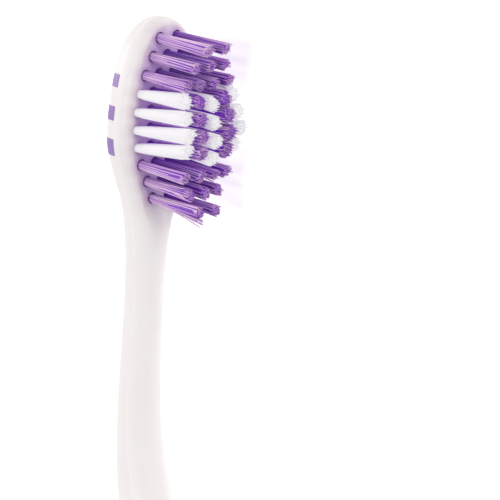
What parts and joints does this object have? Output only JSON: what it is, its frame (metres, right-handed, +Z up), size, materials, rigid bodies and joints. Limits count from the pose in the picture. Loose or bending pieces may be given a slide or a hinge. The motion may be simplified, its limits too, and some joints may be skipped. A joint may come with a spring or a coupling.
{
  "type": "manual toothbrush",
  "caption": "Manual toothbrush: offset moulded handle with soft inlaid grips, slim neck and a head of contour-trimmed white and purple bristle tufts.",
  "frame": {"origin": "middle of the length and of the depth, on the surface that the brush lies on", "axes": "brush lies on its side: +X along the handle towards the head's tip, the bristles point to -Y, +Z up across the brush from its low side to its high side"},
  "size_m": [0.19, 0.023, 0.0142],
  "materials": {
    "white_moulding": "polished injection-moulded polypropylene, milky white",
    "purple_grip": "satin soft elastomer, overmoulded flush with the handle",
    "purple_filament": "drawn nylon filaments with rounded ends",
    "white_filament": "drawn nylon filaments with rounded ends, translucent white",
    "anchor_metal": "stamped strip, bare metal"
  },
  "bodies": {
    "root": {"handle_body": "white_moulding", "thumb_grip": "purple_grip", "back_grip": "purple_grip", "head_bar_1": "purple_grip", "head_bar_2": "purple_grip", "head_bar_3": "purple_grip", "tuft_r01_c1": "purple_filament", "tuft_r01_c2": "purple_filament", "tuft_r02_c1": "purple_filament", "tuft_r02_c2": "purple_filament", "tuft_r02_c3": "purple_filament", "tuft_r03_c1": "purple_filament", "tuft_r03_c2": "purple_filament", "tuft_r03_c3": "purple_filament", "tuft_r03_c4": "purple_filament", "tuft_r04_c1": "white_filament", "tuft_r04_c2": "purple_filament", "tuft_r04_c3": "white_filament", "tuft_r04_c4": "purple_filament", "tuft_r04_c5": "white_filament", "tuft_r05_c1": "white_filament", "tuft_r05_c2": "purple_filament", "tuft_r05_c3": "white_filament", "tuft_r05_c4": "purple_filament", "tuft_r05_c5": "white_filament", "tuft_r06_c1": "white_filament", "tuft_r06_c2": "purple_filament", "tuft_r06_c3": "white_filament", "tuft_r06_c4": "purple_filament", "tuft_r06_c5": "white_filament", "tuft_r07_c1": "white_filament", "tuft_r07_c2": "purple_filament", "tuft_r07_c3": "white_filament", "tuft_r07_c4": "purple_filament", "tuft_r07_c5": "white_filament", "tuft_r08_c1": "purple_filament", "tuft_r08_c2": "purple_filament", "tuft_r08_c3": "purple_filament", "tuft_r08_c4": "purple_filament", "tuft_r09_c1": "purple_filament", "tuft_r09_c2": "purple_filament", "tuft_r09_c3": "purple_filament", "tuft_r10_c1": "purple_filament", "tuft_r10_c2": "purple_filament", "anchor_plates": "anchor_metal"}
  },
  "joints": []
}
